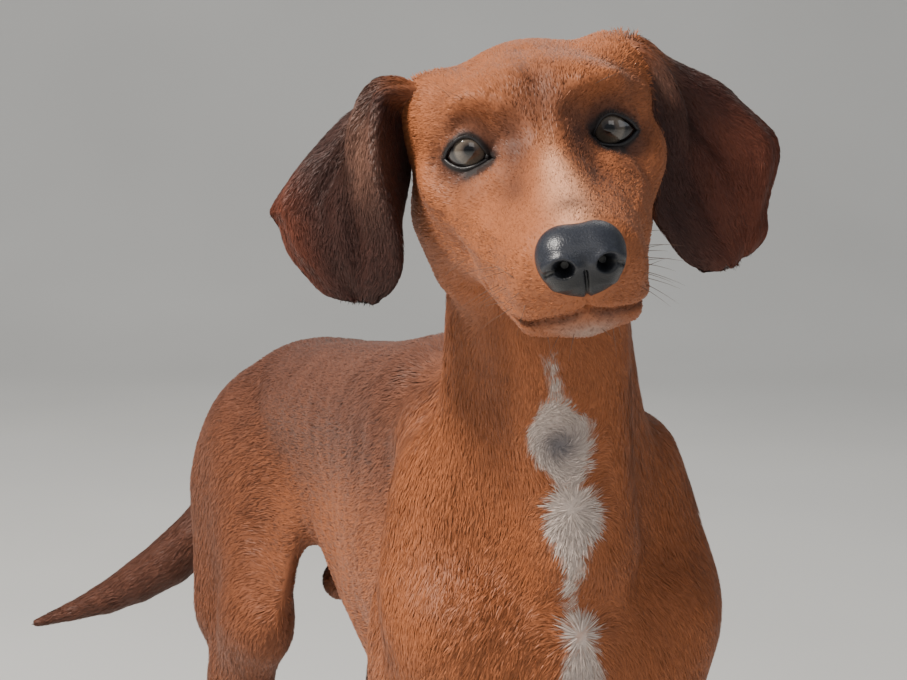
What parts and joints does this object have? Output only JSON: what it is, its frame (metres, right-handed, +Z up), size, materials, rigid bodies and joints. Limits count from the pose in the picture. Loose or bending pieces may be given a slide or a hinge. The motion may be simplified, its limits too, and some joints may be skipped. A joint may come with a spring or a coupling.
{
  "type": "standing dog model",
  "caption": "Still, life-size model of a lean short-haired red hound with hanging ears, standing square and looking ahead.",
  "frame": {"origin": "middle of the whole dog's bounding box in plan, on the floor its paws stand on", "axes": "+Z up; the dog faces -Y with its tail towards +Y; +X is the dog's left side"},
  "size_m": [0.2612, 0.8172, 0.6794],
  "materials": {
    "coat": "short dense red-brown coat with a white blaze down the chest, over soft skin",
    "ear_coat": "very short dark mahogany hair over thin soft ear leather",
    "nose": "damp pebbled blue-black nose leather",
    "eye": "glossy grey-amber eye with a dark pupil"
  },
  "bodies": {
    "root": {"trunk": "coat", "neck": "coat", "head": "coat", "ear_left": "ear_coat", "ear_right": "ear_coat", "nose": "nose", "eye_left": "eye", "eye_right": "eye", "tail_base": "coat", "tail_tip": "coat", "foreleg_left": "coat", "forewrist_left": "coat", "forepaw_left": "coat", "thigh_left": "coat", "hock_left": "coat", "hindpaw_left": "coat", "foreleg_right": "coat", "forewrist_right": "coat", "forepaw_right": "coat", "thigh_right": "coat", "hock_right": "coat", "hindpaw_right": "coat"}
  },
  "joints": []
}
